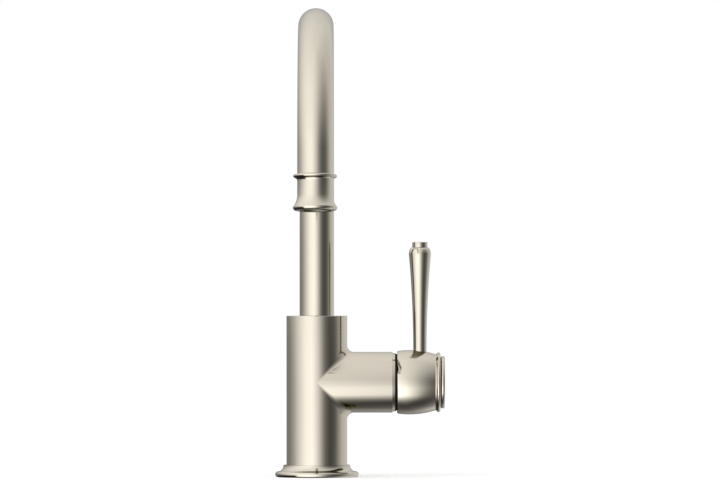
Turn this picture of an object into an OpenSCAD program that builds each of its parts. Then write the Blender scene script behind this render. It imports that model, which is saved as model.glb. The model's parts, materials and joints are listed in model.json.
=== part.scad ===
// Gooseneck basin mixer with a side lever.
// The deck is z = 0 and the body's axis is the Z axis. The spout points along -Y and the branch along +X.

/* [Body] */
// Diameter of the body and of its side branch
body_d = 45; // [44:0.5:50]
// Height of the body's top above the deck
body_h = 119.5; // [115:0.5:150]
// Chamfer on the body's top edge
body_edge = 0.4; // [0.2:0.1:1]
// Height of the branch's axis above the deck
branch_z = 70.2; // [66:0.2:72]
// Distance from the body's axis to the end of the branch
branch_end = 56; // [54:0.5:70]
// Radius of the fillet in the corners between body and branch
mitre_fillet = 5; // [3:0.5:7]
// Diameter of the boss under the body, which passes the flange
foot_d = 35.6; // [33:0.1:36.5]

/* [Fixing and supply] */
// Radius of the threaded hole for the fixing stud
stud_hole_r = 4; // [3:0.5:4.5]
// Depth of the threaded hole for the fixing stud
stud_hole_depth = 25; // [15:1:35]
// Radius of the threaded inlets
inlet_r = 5; // [4:0.5:5]
// Depth of the threaded inlets
inlet_depth = 14; // [10:1:20]
// Distance of the inlets from the body's axis, towards the branch
inlet_x = 5.5; // [5:0.5:6]
// Distance of the inlets from the body's axis, sideways
inlet_y = 9.8; // [9.6:0.1:10]
// Radius of the supply bores above the inlets
supply_r = 4; // [3:0.5:4]
// Radius of the vertical bore to the spout
outlet_bore_r = 5; // [3:0.5:7]

/* [Flange] */
// Height of the ledge round the body
flange_h = 9; // [7:0.5:14]
// Width of the ledge outside the body
flange_ledge = 2.2; // [1:0.1:4]
// Radius of the hollow curve below the ledge
flange_cove = 5.2; // [4:0.2:6.5]
// Radius of the round bead at the deck
flange_bead_r = 2.2; // [2:0.1:3]
// Height of the bead's centre above the deck
flange_bead_z = 2.1; // [1.8:0.1:2.6]
// Distance from the body's surface to the bead's centre
flange_spread = 6.2; // [5:0.2:9]
// Thickness of the lip under the body
flange_lip = 2; // [1.8:0.1:3]
// Thickness of the base seal
base_seal_t = 1.4; // [1:0.1:1.6]
// Width of the base seal
base_seal_w = 3; // [2:0.2:3.6]
// Distance from the body's surface to the base seal
base_seal_offset = 0.6; // [0.2:0.1:1]

/* [Spout] */
// Outer diameter of the spout tube
tube_d = 25.5; // [24:0.5:26]
// Wall of the spout tube
tube_wall = 1.5; // [1:0.1:1.8]
// Height of the top of the arch above the deck
spout_h = 343.4; // [300:1:400]
// Radius of the arch along the tube's axis
arch_r = 99; // [80:1:120]
// How far the outlet leans out from the body for each unit of its length
outlet_lean = 0.07584; // [0:0.02528:0.15168]
// Length of the straight leg above the collar
leg_l = 17.7; // [5:0.1:40]
// Depth of the tube's foot below the body's top
tube_seat = 9.5; // [6:0.5:12]
// Depth of the spout socket in the body
socket_depth = 33.5; // [30:0.5:34]
// Thickness of the slip ring at the socket's floor
slip_ring_t = 1.5; // [1:0.1:2.5]
// Bore through the spigot and the slip ring
spigot_bore_r = 8; // [6:0.5:9]
// Length of the spigot's neck inside the tube
spigot_neck_l = 10; // [6:1:15]
// Depth of the grooves for the spout seals
spout_groove = 1.85; // [1.4:0.05:2.2]
// Radius of the grub screw
grub_r = 2.5; // [2:0.25:3]

/* [Outlet] */
// Distance from the outlet's lower end to the centre of its upper bead
collar_l = 24.65; // [20:0.05:40]
// Radius of the collar's lower bead
collar_bead_r = 2.2; // [1.6:0.1:2.4]
// Distance of the lower bead's centre outside the tube's surface
collar_bead_out = 1; // [0.5:0.05:1.5]
// Radius of the collar's upper bead
collar_top_r = 1.2; // [0.8:0.1:1.6]
// Distance of the upper bead's centre outside the tube's surface
collar_top_out = 1.7; // [0.6:0.05:1.8]
// Radius of the hollow curve under the upper bead
collar_cove = 2.5; // [2:0.1:3]
// Length of the sleeve above the upper bead's centre
collar_land = 1.8; // [1.6:0.1:3]
// Height of the flare above the outlet's lower end
flare_h = 9.75; // [7:0.25:12]
// Radius of the flare's hollow curve
flare_cove = 10; // [7:0.2:12]
// Width of the flare outside the tube's surface
flare_out = 3.1; // [1.2:0.1:3.2]
// Radius of the aerator's thread
aerator_r = 11; // [10:0.25:11.2]
// Depth of the aerator's thread
aerator_depth = 11; // [9:0.5:14]
// Wall of the aerator's housing
aerator_wall = 1.75; // [1.2:0.05:2.2]
// Thickness of the aerator's washer
aerator_washer_t = 1.6; // [1:0.1:2]
// Thickness of the aerator's mesh
mesh_t = 0.5; // [0.3:0.1:0.8]
// Pitch of the mesh's square holes
mesh_pitch = 1.9; // [1.7:0.1:3]
// Width of the mesh's wires
mesh_wire = 0.5; // [0.3:0.1:0.8]
// Radius of the holes in the aerator's core
core_hole_r = 0.9; // [0.5:0.1:1.1]

/* [Cartridge] */
// Diameter of the cartridge
cartridge_d = 35; // [34.4:0.1:35.4]
// Wall of the cartridge's housing
housing_wall = 2.3; // [1.6:0.1:2.6]
// Height of the port seals above the chamber's floor
port_seal_proud = 0.4; // [0.3:0.1:0.6]
// Thickness of the cartridge's base
base_t = 5; // [4:0.5:6]
// Thickness of the fixed disc
fixed_disc_t = 4; // [3:0.5:5]
// Radius of the fixed disc
fixed_disc_r = 13.5; // [12:0.5:14.5]
// Thickness of the moving disc
moving_disc_t = 3.5; // [3:0.5:5]
// Radius of the moving disc and its carrier
moving_disc_r = 11; // [10.6:0.1:11.4]
// Distance of the ports from the cartridge's axis
port_circle_r = 7.5; // [7:0.1:7.8]
// Radius of the ports
port_r = 2.6; // [2:0.1:2.8]
// Width of the rubber round each port
port_seal_w = 1.3; // [0.8:0.1:1.5]
// Depth of the seats for the port seals
port_seat = 1; // [0.6:0.1:1.4]
// Thickness of the disc carrier's plate
carrier_t = 3; // [2.6:0.1:4]
// Height of the disc carrier's tongue above its plate
carrier_tongue_h = 3.3; // [3:0.1:3.6]
// Width of the disc carrier's tongue
carrier_tongue_w = 12; // [10:0.5:12.5]
// Thickness of the rotor's shoulder
rotor_shoulder_t = 3.4; // [2.5:0.1:5]
// Radius of the rotor's neck
rotor_neck_r = 10.4; // [10:0.1:10.8]
// Length of the rotor's neck above the housing
rotor_neck_l = 9; // [6:0.5:9.2]
// Thickness of the lip that holds the rotor in
housing_lip_t = 2.45; // [2:0.05:4]
// Height of the pivot pin above the housing
pivot_rise = 1.5; // [1.5:0.1:2]
// Radius of the pivot pin
pivot_r = 1.5; // [1:0.1:1.8]
// Width of the square spindle
spindle_w = 7; // [6:0.5:7]
// Radius of the ball at the foot of the spindle
ball_r = 2.9; // [2.6:0.1:3]
// Largest tilt of the lever away from the body
tilt_max = 20; // [14:1:21]
// Thickness of the cartridge nut's threaded ring
nut_thread_t = 5; // [4:0.5:6]
// Height of the cartridge nut's hexagon
nut_hex_h = 3.5; // [2.5:0.5:4]
// Depth of the cartridge nut below the end of the branch
nut_recess = 2.95; // [2.5:0.05:5]
// Radial depth of the thread outside the cartridge
thread_step = 1.4; // [1:0.1:1.7]

/* [Trim and hub] */
// Width of the trim ring
trim_w = 2; // [1:0.1:3]
// Step from the branch's surface down to the trim ring
trim_step = 0.9; // [0.7:0.1:1.2]
// Wall of the dome
dome_wall = 1.6; // [1:0.1:2]
// Height of the dome above the trim ring
dome_h = 4; // [3:0.2:4.6]
// Width of the wiper ring at the foot of the dome
wiper_w = 1.8; // [1:0.1:2.4]
// Thickness of the wiper ring
wiper_t = 0.9; // [0.4:0.1:0.9]
// Gap between the trim ring and the hub
hub_gap = 1.5; // [1.3:0.1:2.5]
// Length of the hub
hub_l = 28.2; // [28:0.1:34]
// Height of the hub's widest place outside the branch's surface
hub_swell = 1.4; // [1.3:0.1:2.4]
// Distance from the hub's inner rim to its widest place
hub_crown_x = 9.2; // [5:0.1:10]
// Radius of the curve along the hub
hub_crown_r = 62; // [55:1:100]
// Wall of the hub
hub_wall = 1.8; // [1.2:0.1:1.9]
// Thickness of the hub's outer end
hub_end_t = 5.2; // [4.6:0.1:7]
// Radius of the boss that holds the spindle
hub_boss_r = 8; // [6:0.1:8.2]
// Distance from the hub's inner rim to the boss
hub_boss_inset = 2.5; // [2.5:0.1:6]
// Angle of the notch above the horizontal, on the spout's side
notch_angle = 27; // [0:1:60]
// Depth of the notch in the hub's inner rim
notch_depth = 2.7; // [1:0.1:4]
// Width of the notch in the hub's inner rim
notch_w = 9.2; // [4:0.1:12]
// Depth of the notch's floor below the hub's surface
notch_floor = 1.1; // [0.6:0.1:1.2]
// Depth of the slit through the wall in front of the notch's floor
notch_slit = 0.9; // [0.5:0.1:2]
// Thickness of the bead ring at the hub's outer end
bead_ring_t = 3.9; // [3.2:0.1:5]
// Radius of the bead
bead_ring_r = 1.4; // [1:0.1:1.6]
// Distance from the body's radius in to the bead's centre
bead_ring_inset = 1.8; // [1.8:0.1:2.6]
// Radius of the hollow curve between the hub and the bead
bead_ring_cove = 1; // [0.4:0.1:1.2]
// Bore of the bead ring
bead_ring_bore_r = 17; // [12:0.1:18]
// Thickness of the end cap outside the bead ring
cap_t = 3.3; // [3.2:0.1:6]
// Distance from the body's radius in to the end cap's edge
cap_inset = 3.1; // [2.6:0.1:4]
// Rounding of the end cap's edges
cap_edge = 1.4; // [0.4:0.1:1.5]
// Radius of the screw that holds the hub
hub_screw_r = 2.4; // [1.5:0.1:2.5]
// Length of the hub screw below its head
hub_screw_l = 15; // [11:0.5:20]
// Depth of the recess for the hub screw's head
screw_recess = 3.2; // [2.6:0.1:3.6]

/* [Lever] */
// Distance from the hub's inner rim to the lever's axis
lever_x = 16.9; // [14:0.1:18]
// Radius of the lever's root
lever_root_r = 4.95; // [4:0.05:5.5]
// Largest radius of the lever
lever_top_r = 8.2; // [6.5:0.1:9]
// Height of the lever's top above the branch's axis
lever_h = 104; // [80:1:130]
// Height of the round shoulder below the tip
lever_shoulder_h = 4.9; // [3:0.1:8]
// Radius of the lever's tip
tip_r = 5.65; // [4:0.05:6.2]
// Height of the lever's tip
tip_h = 4; // [2:0.1:8]
// Rounding of the tip's edge
tip_edge = 0.5; // [0.2:0.1:1]
// Depth of the lever's root in the hub
lever_seat = 4; // [3:0.1:6]
// Radius of the lever's stud
lever_stud_r = 2.9; // [2:0.1:3]
// Length of the lever's stud
lever_stud_l = 17; // [12:0.5:20]

/* [Hidden] */
$fn = 96;

// Clearances: a running fit, a seat on the same body, and a free gap
fit = 0.05;
seat_fit = 0.05;
film = 0.05;
free_gap = 0.4;
slot_play = 0.6;
// Length by which a cut runs past the surface that it opens
over = 1;

// Shares that shape small parts from the piece that carries them
groove_share = 1.3;
rim_share = 0.75;
pocket_share = 0.6;
rib_share = 0.22;
head_share = 1.75;
seal_share = 0.25;
rebate_share = 0.35;

// Body
body_r = body_d / 2;
foot_r = foot_d / 2;
chamber_r = cartridge_d / 2 + 2 * fit;
thread_r = chamber_r + thread_step;

// Cartridge, stacked along the branch from the chamber's floor
carrier_h = carrier_t + carrier_tongue_h;
housing_h = fixed_disc_t + film + moving_disc_t + carrier_h + free_gap + rotor_shoulder_t + film + housing_lip_t;
chamber_depth = port_seal_proud + base_t + housing_h + nut_thread_t + nut_hex_h + nut_recess;
floor_x = branch_end - chamber_depth;
base_x = floor_x + port_seal_proud;
fixed_x = base_x + base_t;
moving_x = fixed_x + fixed_disc_t + film;
carrier_x = moving_x + moving_disc_t;
rotor_x = carrier_x + carrier_h + free_gap;
lip_x = rotor_x + rotor_shoulder_t + film;
housing_top = fixed_x + housing_h;
pivot_x = housing_top + pivot_rise;
pocket_x = carrier_x + carrier_t * pocket_share;
ball_x = pocket_x + ball_r + free_gap;
housing_in_r = cartridge_d / 2 - housing_wall;
rotor_seal_inset = housing_lip_t * seal_share;

// Ports as [y, z] from the cartridge's axis: outlet on top, the two inlets below
port_angles = [90, 210, 330];
ports = [for (a = port_angles) port_circle_r * [cos(a), sin(a)]];
outlet_port = ports[0];
inlet_ports = [ports[1], ports[2]];

// Trim ring, dome and hub
trim_x = branch_end + trim_w;
trim_r = body_r - trim_step;
dome_r = norm([trim_x - pivot_x, trim_r]);
rim_x = trim_x + hub_gap;
hub_end_x = rim_x + hub_l;
crown_x = rim_x + hub_crown_x;
crown_axis_r = body_r + hub_swell - hub_crown_r;
boss_x = rim_x + hub_boss_inset;
screw_seat_x = hub_end_x - screw_recess;
spindle_end = hub_end_x - 2 * hub_end_t;
cap_x = hub_end_x + bead_ring_t;
lever_at = rim_x + lever_x;
lever_foot = crown_axis_r + sqrt(pow(hub_crown_r, 2) - pow(lever_at - crown_x, 2)) - lever_seat;

// Spout
tube_r = tube_d / 2;
tube_in_r = tube_r - tube_wall;
socket_z = body_h - socket_depth;
tube_foot_z = body_h - tube_seat;
spigot_z = socket_z + slip_ring_t;
arch_z = spout_h - tube_r - arch_r;
arch_sweep = 180 - asin(outlet_lean);
collar_top = collar_l + collar_land;
groove_w = spout_groove * groove_share;
spigot_l = tube_foot_z - spigot_z;
o_ring_shares = [0.16, 0.84];
grub_z = spigot_z + spigot_l / 2;

// Radius of the hub's curve at x, for the outer curve or one set in by a wall
function hub_radius(x, inset) = crown_axis_r + sqrt(pow(hub_crown_r - inset, 2) - pow(x - crown_x, 2));

// Round solid or ring along the branch's direction, from x0 to x1
module rod_x(x0, x1, r, y = 0, z = 0) {
    translate([x0, y, branch_z + z])
        rotate([0, 90, 0])
            cylinder(h = x1 - x0, r = r);
}

module ring_x(x0, x1, r, bore) {
    difference() {
        rod_x(x0, x1, r);
        rod_x(x0 - over, x1 + over, bore);
    }
}

// Solid turned about the branch's axis, from an outline drawn as [radius, x]
module turned_x() {
    translate([0, 0, branch_z])
        rotate([0, 90, 0])
            rotate_extrude()
                children();
}

module tube_z(z0, z1, r, bore) {
    translate([0, 0, z0])
        difference() {
            cylinder(h = z1 - z0, r = r);
            translate([0, 0, -over])
                cylinder(h = z1 - z0 + 2 * over, r = bore);
        }
}

// Puts what is drawn along +Z at the end of the arch, running on along the tube
module at_arch_end() {
    translate([0, -arch_r, arch_z])
        rotate([arch_sweep, 0, 0])
            translate([0, arch_r, 0])
                children();
}

// Puts what is drawn along +Z on the outlet's axis, with the origin at its lower end
module at_outlet() {
    at_arch_end()
        translate([0, 0, leg_l + collar_top])
            rotate([180, 0, 0])
                children();
}

// Fillet in the corner above the branch, rolled along both surfaces, from one tangent point to the other
mitre_steps = 20;
mitre_arc_steps = 6;
mitre_end_angle = 82;
mitre_sink = fit;

function mitre_point(t, u) =
    let (w = acos(pow(sin(t), 2)))
    let (a = [-cos(t), -sin(t), 0])
    let (b = [0, -sin(t), -cos(t)])
    (body_r + mitre_fillet) * [cos(t), sin(t), cos(t)]
        + mitre_fillet * (sin((1 - u) * w) * a + sin(u * w) * b) / sin(w);

function mitre_section(t) = concat(
    [[(body_r - mitre_sink) * cos(t), (body_r - mitre_sink) * sin(t), (body_r + mitre_fillet) * cos(t)]],
    [for (i = [1:mitre_arc_steps - 1]) mitre_point(t, i / mitre_arc_steps)],
    [[(body_r + mitre_fillet) * cos(t), (body_r - mitre_sink) * sin(t), (body_r - mitre_sink) * cos(t)]],
    [(body_r - mitre_fillet) * [cos(t), sin(t), cos(t)]]
);

module mitre_wedge() {
    n = mitre_arc_steps + 2;
    points = [
        for (k = [0:mitre_steps])
            each mitre_section(mitre_end_angle * (2 * k / mitre_steps - 1))
    ];
    sides = [
        for (k = [0:mitre_steps - 1], j = [0:n - 1])
            [k * n + j, (k + 1) * n + j, (k + 1) * n + (j + 1) % n, k * n + (j + 1) % n]
    ];
    first = [for (j = [0:n - 1]) j];
    last = [for (j = [n - 1:-1:0]) mitre_steps * n + j];
    polyhedron(points, concat(sides, [first, last]));
}

module body_outside() {
    translate([0, 0, flange_lip])
        cylinder(h = body_h - flange_lip - body_edge, r = body_r);
    translate([0, 0, body_h - body_edge])
        cylinder(h = body_edge, r1 = body_r, r2 = body_r - body_edge);
    cylinder(h = flange_lip + over, r = foot_r);
    rod_x(0, branch_end, body_r);
    for (side = [0, 1])
        translate([0, 0, branch_z])
            mirror([0, 0, side])
                mitre_wedge();
}

module supply_bores(side) {
    port = inlet_ports[side > 0 ? 1 : 0];
    translate([inlet_x, side * inlet_y, -over])
        cylinder(h = inlet_depth + over, r = inlet_r);
    translate([inlet_x, side * inlet_y, 0])
        cylinder(h = branch_z + port[1] + port_r, r = supply_r);
    rod_x(inlet_x, floor_x + over, port_r, port[0], port[1]);
}

module body_casting() color("#cfc7b8") {
    difference() {
        body_outside();
        translate([0, 0, -over])
            cylinder(h = stud_hole_depth + over, r = stud_hole_r);
        for (side = [-1, 1])
            supply_bores(side);
        translate([0, 0, socket_z])
            cylinder(h = socket_depth + over, r = tube_r + fit);
        translate([0, 0, branch_z + outlet_port[1]])
            cylinder(h = socket_z - branch_z, r = outlet_bore_r);
        rod_x(0, floor_x + over, port_r, outlet_port[0], outlet_port[1]);
        rod_x(floor_x, branch_end + over, chamber_r);
        rod_x(housing_top, branch_end + over, thread_r);
        translate([0, 0, grub_z])
            rotate([-90, 0, 0])
                cylinder(h = body_r + over, r = grub_r + fit);
        for (y = [-1, 1])
            rod_x(floor_x - port_r, floor_x + over, port_seal_w + fit, y * fixed_disc_r);
    }
}

module base_flange() color("#cfc7b8") {
    cove_r = body_r + flange_ledge + flange_cove;
    bead_at = body_r + flange_spread;
    rotate_extrude()
        difference() {
            union() {
                difference() {
                    translate([foot_r + 2 * fit, 0])
                        square([bead_at - foot_r - 2 * fit, flange_h]);
                    translate([cove_r, flange_h])
                        circle(r = flange_cove);
                }
                translate([bead_at, flange_bead_z])
                    circle(r = flange_bead_r);
            }
            translate([0, -flange_h])
                square([body_r + flange_spread + flange_h, flange_h]);
            translate([0, flange_lip])
                square([body_r + fit, flange_h]);
            translate([body_r + base_seal_offset, -over])
                square([base_seal_w + 2 * seat_fit, base_seal_t + over]);
        }
}

module base_seal() color("#1c1c1c") {
    inner = body_r + base_seal_offset + seat_fit;
    tube_z(0, base_seal_t, inner + base_seal_w, inner);
}

// Outline of a slice of a hollow ball about the lever's pivot, drawn as [radius, x]
module dome_slice(x0, x1, outer, inner) {
    intersection() {
        translate([0, x0])
            square([outer, x1 - x0]);
        translate([0, pivot_x])
            difference() {
                circle(r = outer);
                circle(r = inner);
            }
    }
}

module branch_dome() color("#cfc7b8") {
    skirt_in_r = thread_r - dome_wall;
    skirt_x = branch_end - nut_recess * rim_share;
    dome_foot_in_r = sqrt(pow(dome_r - dome_wall, 2) - pow(trim_x - pivot_x, 2));
    ring_in_r = min(skirt_in_r, dome_foot_in_r);
    turned_x() {
        translate([skirt_in_r, skirt_x])
            square([thread_r - 2 * fit - skirt_in_r, branch_end - skirt_x]);
        translate([ring_in_r, branch_end])
            square([trim_r - ring_in_r, trim_w]);
        dome_slice(trim_x, trim_x + dome_h, dome_r - wiper_t, dome_r - dome_wall);
        dome_slice(trim_x + wiper_w, trim_x + dome_h, dome_r, dome_r - dome_wall);
    }
}

module wiper_ring() color("#1c1c1c") {
    turned_x()
        dome_slice(trim_x + seat_fit, trim_x + wiper_w - seat_fit, dome_r, dome_r - wiper_t + seat_fit);
}

module cartridge_nut() color("#b9a26a") {
    bore = rotor_neck_r + 2 * slot_play;
    difference() {
        union() {
            rod_x(housing_top, housing_top + nut_thread_t, thread_r - 2 * fit);
            translate([housing_top + nut_thread_t, 0, branch_z])
                rotate([0, 90, 0])
                    cylinder(h = nut_hex_h, r = thread_r - slot_play, $fn = 6);
        }
        rod_x(housing_top - over, housing_top + nut_thread_t + nut_hex_h + over, bore);
    }
}

module cartridge_housing() color("#e9e6dc") {
    ring_x(fixed_x, lip_x, cartridge_d / 2, housing_in_r);
    ring_x(lip_x, housing_top, cartridge_d / 2, rotor_neck_r + fit);
}

// What is drawn once for each port, shifted to the port
module each_port() {
    for (p = ports)
        translate([0, p[0], p[1]])
            children();
}

module cartridge_base() color("#e9e6dc") {
    seat_r = port_r + port_seal_w + seat_fit;
    difference() {
        union() {
            rod_x(base_x, fixed_x, cartridge_d / 2);
            for (y = [-1, 1])
                rod_x(base_x - port_r, base_x + over, port_seal_w, y * fixed_disc_r);
        }
        each_port() {
            rod_x(base_x - over, fixed_x + over, port_r);
            rod_x(base_x - over, base_x + port_seat, seat_r);
            rod_x(fixed_x - port_seat, fixed_x + over, seat_r);
        }
    }
}

module port_seals() color("#1c1c1c") {
    each_port()
        ring_x(floor_x, base_x + port_seat, port_r + port_seal_w, port_r);
}

module disc_seals() color("#1c1c1c") {
    each_port()
        ring_x(fixed_x - port_seat, fixed_x, port_r + port_seal_w, port_r);
}

module fixed_disc() color("#f4f2ec") {
    difference() {
        rod_x(fixed_x, fixed_x + fixed_disc_t, fixed_disc_r);
        each_port()
            rod_x(fixed_x - over, fixed_x + fixed_disc_t + over, port_r);
    }
}

module moving_disc() color("#f4f2ec") {
    difference() {
        rod_x(moving_x, carrier_x, moving_disc_r);
        rod_x(moving_x - over, moving_x + moving_disc_t * pocket_share, moving_disc_r * pocket_share, 0, port_r);
    }
}

module disc_carrier() color("#3d6ea8") {
    difference() {
        union() {
            rod_x(carrier_x, carrier_x + carrier_t, moving_disc_r);
            translate([carrier_x, -carrier_tongue_w / 2, branch_z - moving_disc_r * rim_share])
                cube([carrier_h, carrier_tongue_w, 2 * moving_disc_r * rim_share]);
        }
        rod_x(pocket_x, carrier_x + carrier_h + over, ball_r + 4 * fit);
    }
}

// Slot that the spindle swings in: narrow at the pin, wider towards each end
module rotor_slot() {
    half = spindle_w / 2;
    top = housing_top + rotor_neck_l + over - pivot_x;
    foot = pivot_x - rotor_x + over;
    waist = half / cos(tilt_max) + slot_play;
    slot_y = half + 2 * fit;
    translate([pivot_x, slot_y, branch_z])
        rotate([90, 0, 0])
            linear_extrude(height = 2 * slot_y)
                polygon([
                    [-foot, -ball_r - slot_play],
                    [0, -waist],
                    [top, -top * tan(tilt_max) - waist],
                    [top, half + slot_play],
                    [0, waist],
                    [-foot, foot * tan(tilt_max) + ball_r + slot_play]
                ]);
}

module cartridge_rotor() color("#7d8288") {
    rib_x = carrier_x + carrier_t + free_gap / 2;
    rib_w = moving_disc_r * rib_share;
    rib_l = moving_disc_r * rim_share;
    shoulder_r = housing_in_r - free_gap;
    groove_r = rotor_neck_r - 2 * rotor_seal_inset;
    difference() {
        union() {
            rod_x(rotor_x, rotor_x + rotor_shoulder_t, shoulder_r);
            rod_x(rotor_x, housing_top + rotor_neck_l, rotor_neck_r);
            for (side = [0, 1])
                mirror([0, side, 0])
                    translate([rib_x, carrier_tongue_w / 2 + 2 * fit, branch_z - rib_l])
                        cube([rotor_x - rib_x + over, rib_w, 2 * rib_l]);
        }
        rotor_slot();
        translate([pivot_x, -rotor_neck_r - over, branch_z])
            rotate([-90, 0, 0])
                cylinder(h = 2 * rotor_neck_r + 2 * over, r = pivot_r + seat_fit / 2);
        ring_x(lip_x + rotor_seal_inset, housing_top - rotor_seal_inset, rotor_neck_r + over, groove_r);
    }
}

module rotor_seal() color("#1c1c1c") {
    turned_x()
        translate([rotor_neck_r - rotor_seal_inset, lip_x + housing_lip_t / 2])
            circle(r = rotor_seal_inset - seat_fit / 2);
}

module pivot_pin() color("#a8abad") {
    pin_l = 2 * rotor_neck_r - 2 * free_gap;
    translate([pivot_x, -pin_l / 2, branch_z])
        rotate([-90, 0, 0])
            cylinder(h = pin_l, r = pivot_r);
}

module cartridge_spindle() color("#a8abad") {
    half = spindle_w / 2;
    difference() {
        union() {
            translate([pivot_x - half, -half, branch_z - half])
                cube([spindle_end - pivot_x + half, spindle_w, spindle_w]);
            rod_x(ball_x, pivot_x, ball_r * rim_share);
            translate([ball_x, 0, branch_z])
                sphere(r = ball_r);
        }
        translate([pivot_x, -half - over, branch_z])
            rotate([-90, 0, 0])
                cylinder(h = spindle_w + 2 * over, r = pivot_r + fit);
        rod_x(screw_seat_x - hub_screw_l - free_gap, spindle_end + over, hub_screw_r + seat_fit);
    }
}

hub_steps = 14;

// Half outline of the hub as [radius, x], closed on its axis
module hub_outline(x0, x1, inset) {
    curve = [for (i = [0:hub_steps]) let (x = x0 + (x1 - x0) * i / hub_steps) [hub_radius(x, inset), x]];
    polygon(concat([[0, x0]], curve, [[0, x1]]));
}

// Cut of the notch's width and the given depth in the hub's rim, from a distance out from the axis
module rim_cut(depth, low) {
    cut_r = (pow(notch_w / 2, 2) + pow(depth, 2)) / (2 * depth);
    translate([rim_x + depth - cut_r, 0, branch_z])
        rotate([90 - notch_angle, 0, 0])
            translate([0, 0, low])
                cylinder(h = body_r + 2 * hub_swell - low, r = cut_r);
}

module handle_hub() color("#cfc7b8") {
    hole_w = spindle_w + 2 * seat_fit;
    post_r = lever_root_r + hub_wall;
    difference() {
        turned_x()
            hub_outline(rim_x, hub_end_x, 0);
        difference() {
            turned_x()
                hub_outline(rim_x - over, hub_end_x - hub_end_t, hub_wall);
            rod_x(boss_x, hub_end_x, hub_boss_r);
            translate([lever_at, 0, branch_z])
                cylinder(h = body_r + hub_swell, r = post_r);
        }
        translate([boss_x - over, -hole_w / 2, branch_z - hole_w / 2])
            cube([spindle_end - boss_x + over, hole_w, hole_w]);
        rod_x(boss_x, hub_end_x + over, hub_screw_r + 2 * fit);
        rod_x(screw_seat_x, hub_end_x + over, hub_screw_r * head_share + free_gap);
        translate([lever_at, 0, branch_z + lever_foot])
            cylinder(h = body_r, r = lever_root_r + seat_fit);
        translate([lever_at, 0, branch_z + lever_foot - lever_stud_l / 2 - free_gap])
            cylinder(h = lever_stud_l, r = lever_stud_r + seat_fit);
        rim_cut(notch_depth, hub_radius(rim_x, 0) - notch_floor);
        rim_cut(notch_slit, body_r - trim_step - hub_wall);
    }
}

module hub_bead_ring() color("#cfc7b8") {
    bead_at = [body_r - bead_ring_inset, cap_x - bead_ring_r];
    hub_edge = [hub_radius(hub_end_x, 0), hub_end_x];
    cove_at = hub_edge + bead_ring_cove * (hub_edge - [crown_axis_r, crown_x]) / hub_crown_r;
    turned_x()
        difference() {
            union() {
                polygon([[0, hub_end_x], hub_edge, cove_at, bead_at, [bead_at[0], cap_x], [0, cap_x]]);
                translate(bead_at)
                    circle(r = bead_ring_r);
            }
            translate(cove_at)
                circle(r = bead_ring_cove);
            translate([0, hub_end_x - over])
                square([bead_ring_bore_r, bead_ring_t + 2 * over]);
        }
}

module hub_end_cap() color("#cfc7b8") {
    cap_r = body_r - cap_inset;
    spigot_r = bead_ring_bore_r - seat_fit;
    turned_x() {
        translate([0, cap_x])
            square([cap_r - cap_edge, cap_t]);
        translate([0, cap_x + cap_edge])
            square([cap_r, cap_t - 2 * cap_edge]);
        for (x = [cap_x + cap_edge, cap_x + cap_t - cap_edge])
            translate([cap_r - cap_edge, x])
                circle(r = cap_edge);
        translate([spigot_r - hub_wall, hub_end_x])
            square([hub_wall, bead_ring_t + cap_edge]);
    }
}

module hub_screw() color("#a8abad") {
    head_r = hub_screw_r * head_share;
    head_h = screw_recess - free_gap;
    difference() {
        union() {
            rod_x(screw_seat_x - hub_screw_l, screw_seat_x + fit, hub_screw_r);
            rod_x(screw_seat_x, screw_seat_x + head_h, head_r);
        }
        translate([screw_seat_x + head_h * rebate_share, 0, branch_z])
            rotate([0, 90, 0])
                cylinder(h = head_h, r = hub_screw_r, $fn = 6);
    }
}

module lever_stud() color("#a8abad") {
    translate([lever_at, 0, branch_z + lever_foot - lever_stud_l / 2])
        cylinder(h = lever_stud_l, r = lever_stud_r);
}

// Outline of the rod as [radius, height]: a slow curve out from the root, then a round shoulder
lever_steps = 16;
shoulder_steps = 8;

function taper_point(u, low, high) = [lever_root_r + (lever_top_r - lever_root_r) * pow(u, 2), low + (high - low) * u];

module lever_rod() color("#cfc7b8") {
    top = lever_h - tip_h;
    shoulder = top - lever_shoulder_h;
    taper = [for (i = [0:lever_steps]) taper_point(i / lever_steps, lever_foot + lever_seat, shoulder)];
    round_top = [
        for (i = [1:shoulder_steps])
            let (a = 90 * i / shoulder_steps)
            [tip_r + (lever_top_r - tip_r) * cos(a), shoulder + lever_shoulder_h * sin(a)]
    ];
    hole_r = lever_stud_r + seat_fit;
    translate([lever_at, 0, branch_z])
        difference() {
            rotate_extrude()
                polygon(concat([[0, lever_foot], [lever_root_r, lever_foot]], taper, round_top, [[0, top]]));
            translate([0, 0, lever_foot - over])
                cylinder(h = lever_stud_l / 2 + free_gap + over, r = hole_r);
            translate([0, 0, top - 2 * tip_h - free_gap])
                cylinder(h = 2 * tip_h + over, r = hole_r);
        }
}

module lever_tip() color("#cfc7b8") {
    translate([lever_at, 0, branch_z + lever_h - tip_h])
        rotate_extrude() {
            square([tip_r, tip_h - tip_edge]);
            square([tip_r - tip_edge, tip_h]);
            translate([tip_r - tip_edge, tip_h - tip_edge])
                circle(r = tip_edge);
            translate([0, -2 * tip_h])
                square([lever_stud_r, 2 * tip_h + tip_edge]);
        }
}

// Half ring of the tube, cut off where the leg starts
module spout_arch() {
    difference() {
        translate([0, -arch_r, arch_z])
            rotate([90, 0, 90])
                rotate_extrude(angle = 180)
                    translate([arch_r, 0])
                        difference() {
                            circle(r = tube_r);
                            circle(r = tube_in_r);
                        }
        at_arch_end()
            translate([-tube_d, -tube_d, 0])
                cube([2 * tube_d, 2 * tube_d, 2 * tube_d]);
    }
}

module spout_tube() color("#cfc7b8") {
    tube_z(tube_foot_z, arch_z, tube_r, tube_in_r);
    spout_arch();
    at_arch_end()
        tube_z(0, leg_l, tube_r, tube_in_r);
}

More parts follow.
